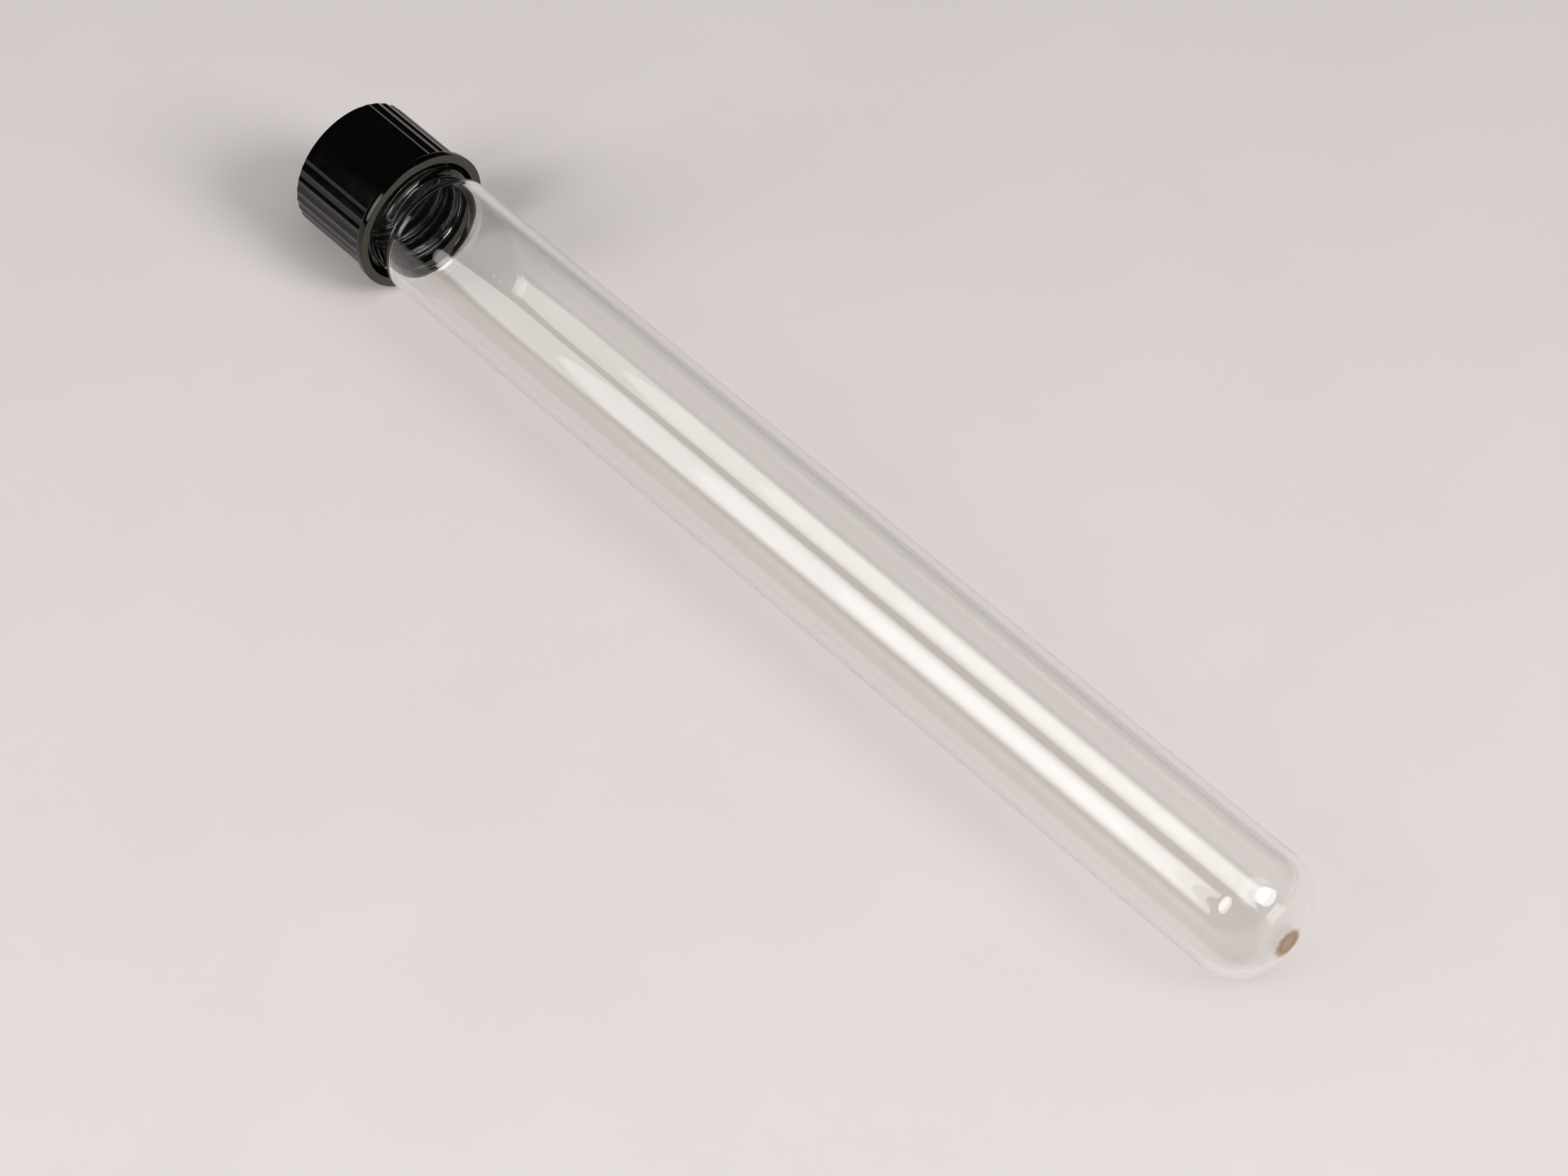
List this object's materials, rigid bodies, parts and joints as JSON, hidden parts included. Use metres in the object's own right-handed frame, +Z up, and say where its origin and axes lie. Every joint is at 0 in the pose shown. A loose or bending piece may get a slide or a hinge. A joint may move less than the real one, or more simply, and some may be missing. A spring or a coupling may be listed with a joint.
{
  "type": "screw-cap culture tube",
  "caption": "Round-bottom glass tube with a fluted black screw cap on its threaded neck, closed and lying on its side.",
  "frame": {"origin": "under the middle of the closed tube's length, on the plane that the cap's flange rests on", "axes": "+X along the tube's axis from the cap to the round bottom, +Z up from the surface it lies on"},
  "size_m": [0.183, 0.021, 0.0211],
  "materials": {
    "glass": "clear fire-polished borosilicate glass",
    "cap": "polished black phenolic, with a matt olive-grey rim face",
    "liner": "smooth black rubber"
  },
  "bodies": {
    "tube": {"glass_tube": "glass"},
    "liner": {"liner_disc": "liner"},
    "cap": {"screw_cap": "cap"}
  },
  "joints": [
    {"name": "cap_lift", "type": "slide", "parent": "tube", "child": "liner", "axis": [-1, 0, 0], "range_m": [0, 0.0124]},
    {"name": "cap_turn", "type": "hinge", "parent": "liner", "child": "cap", "pos_m": [-0.09, 0, 0.01055], "axis": [-1, 0, 0], "range_deg": [0, 1404]}
  ],
  "couplings": [
    {"joint": "cap_lift", "follows": "cap_turn", "m_per_rad": 0.00050532}
  ]
}
